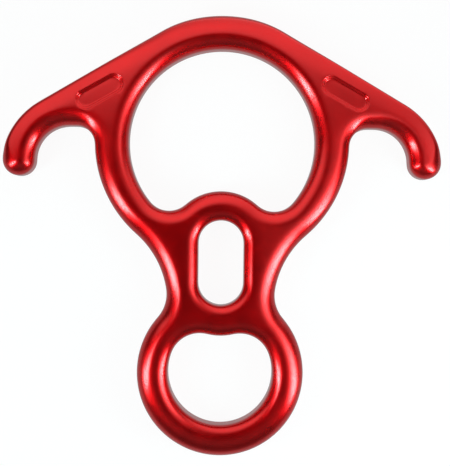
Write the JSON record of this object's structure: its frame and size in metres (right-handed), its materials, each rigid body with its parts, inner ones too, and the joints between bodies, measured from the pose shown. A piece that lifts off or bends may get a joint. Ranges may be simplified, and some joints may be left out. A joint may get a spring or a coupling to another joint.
{
  "type": "figure eight descender",
  "caption": "Eared figure eight descender: a large rope eye with hooked ears, a web with a long slot and a small connector eye, all with rounded rope edges.",
  "frame": {"origin": "middle of the bounding box, on the plane that the part lies on", "axes": "+Z out of the front face, through the thickness; +Y from the small eye towards the large eye; +X towards the right-hand ear, seen from the front"},
  "size_m": [0.1532, 0.1536, 0.014],
  "materials": {
    "red_anodised_aluminium": "hot forged, polished, then anodised and dyed red"
  },
  "bodies": {
    "root": {"descender": "red_anodised_aluminium"}
  },
  "joints": []
}
